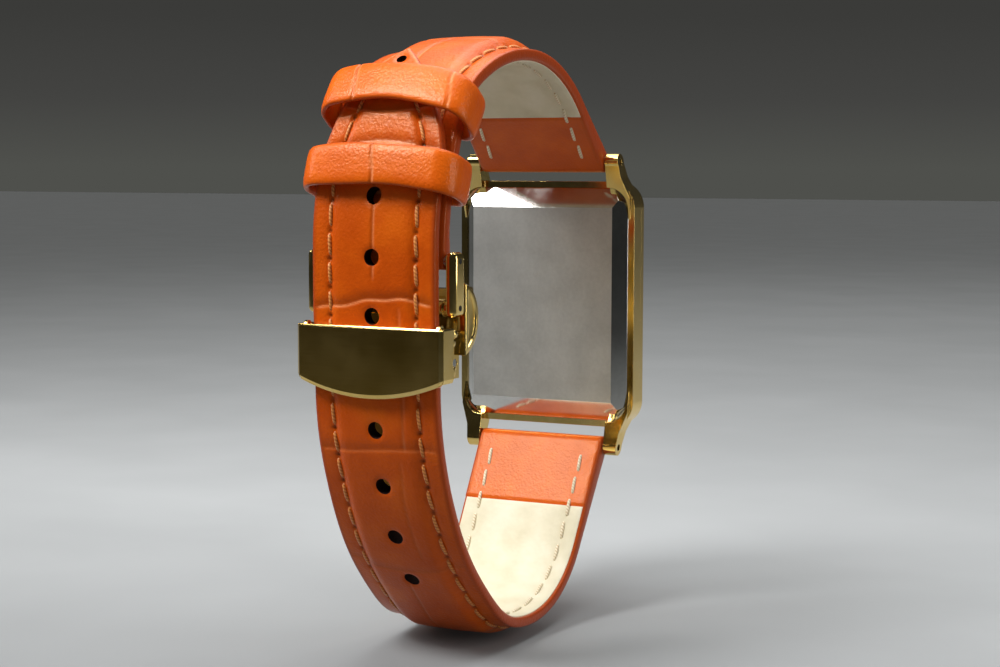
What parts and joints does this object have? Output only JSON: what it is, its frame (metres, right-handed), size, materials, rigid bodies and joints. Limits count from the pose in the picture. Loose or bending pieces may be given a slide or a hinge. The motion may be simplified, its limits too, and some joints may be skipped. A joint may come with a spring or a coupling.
{
  "type": "wristwatch",
  "caption": "Rectangular hand-wound dress watch on an orange-tan embossed leather strap, closed in a loop by a folding clasp with a curved cover plate.",
  "frame": {"origin": "middle of the flat of the case back", "axes": "+X to 3 o'clock and the crown, +Y from the dial to the wrist, +Z to 12 o'clock"},
  "size_m": [0.0281, 0.0524, 0.0728],
  "materials": {
    "gold_case": "polished gold plating",
    "gold_brushed": "gold plating, brushed face and polished rim",
    "steel_back": "polished steel",
    "steel": "fine brushed steel",
    "pinion_steel": "polished hardened steel",
    "brass_plate": "grained brass",
    "brass_wheel": "gilt brass",
    "rhodium": "striped bridge plating",
    "blued": "blued steel",
    "crystal_glass": "clear mineral glass",
    "gasket": "pale seal",
    "dial_white": "satin off-white lacquer",
    "marker_black": "black print",
    "ring_grey": "moulded ring",
    "tan_leather": "glossy orange-tan, crocodile embossed",
    "lining_leather": "matt cream lining"
  },
  "bodies": {
    "case": {"case_middle": "gold_case", "bezel": "gold_case", "crystal": "crystal_glass", "crystal_gasket": "gasket", "case_back": "steel_back", "crown_tube": "gold_case", "spring_bar_upper": "steel", "spring_bar_lower": "steel", "dial": "dial_white", "dial_markers": "marker_black", "movement_ring": "ring_grey", "main_plate": "brass_plate", "barrel_bridge": "rhodium", "train_bridge": "rhodium", "pallet_bridge": "rhodium", "balance_cock": "rhodium", "movement_screws": "blued"},
    "barrel_drum": {"barrel": "brass_wheel", "mainspring": "steel"},
    "winding_arbor": {"barrel_arbor": "pinion_steel", "ratchet_wheel": "pinion_steel"},
    "crown_wheel_body": {"crown_wheel": "pinion_steel"},
    "click_body": {"click": "steel"},
    "centre_body": {"centre_wheel": "brass_wheel", "cannon_pinion": "pinion_steel", "minute_hand": "blued"},
    "third_body": {"third_wheel": "brass_wheel"},
    "fourth_body": {"fourth_wheel": "brass_wheel"},
    "escape_body": {"escape_wheel": "pinion_steel"},
    "pallet_body": {"pallet_fork": "pinion_steel"},
    "balance_body": {"balance_wheel": "brass_wheel", "hairspring": "blued"},
    "minute_wheel_body": {"minute_wheel": "brass_wheel"},
    "hour_body": {"hour_wheel": "brass_wheel", "hour_hand": "blued"},
    "winding_body": {"winding_pinion": "pinion_steel"},
    "stem_body": {"winding_stem": "steel", "crown": "gold_case"},
    "sliding_body": {"sliding_pinion": "pinion_steel"},
    "lever_body": {"setting_lever": "steel"},
    "upper_strap": {"strap_short": "tan_leather", "lining_short": "lining_leather", "keeper_fixed": "tan_leather", "clasp_frame": "gold_case", "strap_bar": "steel"},
    "clasp_base_body": {"clasp_base": "gold_case", "fold_pin": "steel", "button_springs": "steel"},
    "fold_body": {"clasp_fold_blade": "gold_case"},
    "lower_strap": {"strap_long": "tan_leather", "lining_long": "lining_leather", "clasp_buckle": "gold_case", "buckle_pin": "steel"},
    "cover_body": {"clasp_cover": "gold_brushed"},
    "button_left_body": {"push_button_left": "gold_case"},
    "button_right_body": {"push_button_right": "gold_case"},
    "keeper_body": {"keeper_sliding": "tan_leather"}
  },
  "joints": [
    {"name": "fourth_spin", "type": "hinge", "parent": "case", "child": "fourth_body", "pos_m": [-0.0009, -0.0025, -0.00455], "axis": [0, 1, 0], "continuous": true},
    {"name": "escape_spin", "type": "hinge", "parent": "case", "child": "escape_body", "pos_m": [-0.00369, -0.0025, -0.00586], "axis": [0, 1, 0], "continuous": true},
    {"name": "third_spin", "type": "hinge", "parent": "case", "child": "third_body", "pos_m": [0.0018, -0.0025, -0.00312], "axis": [0, 1, 0], "continuous": true},
    {"name": "centre_spin", "type": "hinge", "parent": "case", "child": "centre_body", "pos_m": [0, -0.0025, 0], "axis": [0, 1, 0], "continuous": true},
    {"name": "barrel_spin", "type": "hinge", "parent": "case", "child": "barrel_drum", "pos_m": [0.0012, -0.0025, 0.00446], "axis": [0, 1, 0], "continuous": true},
    {"name": "minute_wheel_spin", "type": "hinge", "parent": "case", "child": "minute_wheel_body", "pos_m": [0.002, -0.0025, 0], "axis": [0, 1, 0], "continuous": true},
    {"name": "hour_spin", "type": "hinge", "parent": "case", "child": "hour_body", "pos_m": [0, -0.0025, 0], "axis": [0, 1, 0], "continuous": true},
    {"name": "pallet_swing", "type": "hinge", "parent": "case", "child": "pallet_body", "pos_m": [-0.00508, -0.0025, -0.004], "axis": [0, 1, 0], "range_deg": [-5, 5]},
    {"name": "balance_swing", "type": "hinge", "parent": "case", "child": "balance_body", "pos_m": [-0.00634, -0.0025, -0.00231], "axis": [0, 1, 0], "range_deg": [-135, 135], "stiffness_Nm_per_rad": 0.00000006, "deforming": ["hairspring"]},
    {"name": "crown_turn", "type": "hinge", "parent": "case", "child": "winding_body", "pos_m": [0.006, -0.0026, 0], "axis": [1, 0, 0], "continuous": true},
    {"name": "crown_pull", "type": "slide", "parent": "winding_body", "child": "stem_body", "axis": [1, 0, 0], "range_m": [0, 0.0009]},
    {"name": "sliding_pinion_slide", "type": "slide", "parent": "winding_body", "child": "sliding_body", "axis": [1, 0, 0], "range_m": [-0.0003, 0]},
    {"name": "setting_lever_swing", "type": "hinge", "parent": "case", "child": "lever_body", "pos_m": [0.008, -0.0038, -0.0019], "axis": [0, 1, 0], "range_deg": [0, 25]},
    {"name": "crown_wheel_spin", "type": "hinge", "parent": "case", "child": "crown_wheel_body", "pos_m": [0.006, -0.001, 0.00229], "axis": [0, 1, 0], "continuous": true},
    {"name": "ratchet_spin", "type": "hinge", "parent": "case", "child": "winding_arbor", "pos_m": [0.0012, -0.001, 0.00446], "axis": [0, 1, 0], "continuous": true},
    {"name": "click_swing", "type": "hinge", "parent": "case", "child": "click_body", "pos_m": [-0.00237, -0.001, 0.00669], "axis": [0, 1, 0], "range_deg": [0, 12]},
    {"name": "strap_short_swing", "type": "hinge", "parent": "case", "child": "upper_strap", "pos_m": [0, -0.00085, 0.01885], "axis": [1, 0, 0], "range_deg": [-0.5, 5]},
    {"name": "base_swing", "type": "hinge", "parent": "upper_strap", "child": "clasp_base_body", "pos_m": [0, 0.0425, 0.00259], "axis": [1, 0, 0], "range_deg": [-0.5, 5]},
    {"name": "clasp_fold", "type": "hinge", "parent": "clasp_base_body", "child": "fold_body", "pos_m": [0, 0.03852, -0.01939], "axis": [1, 0, 0], "range_deg": [-175, 0], "deforming": ["strap_long", "lining_long"]},
    {"name": "buckle_swing", "type": "hinge", "parent": "fold_body", "child": "lower_strap", "pos_m": [0, 0.04217, -0.00361], "axis": [1, 0, 0], "range_deg": [-0.5, 130.6]},
    {"name": "cover_flap", "type": "hinge", "parent": "lower_strap", "child": "cover_body", "pos_m": [0, 0.04531, 0.00024], "axis": [1, 0, 0], "range_deg": [0, 60]},
    {"name": "button_left_press", "type": "slide", "parent": "clasp_base_body", "child": "button_left_body", "axis": [-1, 0, 0], "range_m": [0, 0.0006], "stiffness_N_per_m": 600, "springref_m": -0.0003},
    {"name": "button_right_press", "type": "slide", "parent": "clasp_base_body", "child": "button_right_body", "axis": [1, 0, 0], "range_m": [0, 0.0006], "stiffness_N_per_m": 600, "springref_m": -0.0003},
    {"name": "keeper_slide", "type": "hinge", "parent": "upper_strap", "child": "keeper_body", "pos_m": [0, 0.02888, 0.01881], "axis": [1, 0, 0], "range_deg": [-3, 11]}
  ],
  "couplings": [
    {"joint": "escape_spin", "follows": "fourth_spin", "ratio": -10},
    {"joint": "third_spin", "follows": "fourth_spin", "ratio": -0.13333},
    {"joint": "centre_spin", "follows": "fourth_spin", "ratio": 0.016667},
    {"joint": "barrel_spin", "follows": "fourth_spin", "ratio": -0.0027778},
    {"joint": "minute_wheel_spin", "follows": "fourth_spin", "ratio": -0.0055556},
    {"joint": "hour_spin", "follows": "fourth_spin", "ratio": 0.0013889},
    {"joint": "sliding_pinion_slide", "follows": "crown_pull", "ratio": -0.33333},
    {"joint": "setting_lever_swing", "follows": "crown_pull", "rad_per_m": 475.12},
    {"joint": "crown_wheel_spin", "follows": "crown_turn", "ratio": 0.46154},
    {"joint": "ratchet_spin", "follows": "crown_turn", "ratio": -0.33333},
    {"joint": "strap_short_swing", "follows": "clasp_fold", "ratio": -0.022337},
    {"joint": "base_swing", "follows": "clasp_fold", "ratio": -0.022857},
    {"joint": "buckle_swing", "follows": "clasp_fold", "ratio": -0.7407}
  ]
}
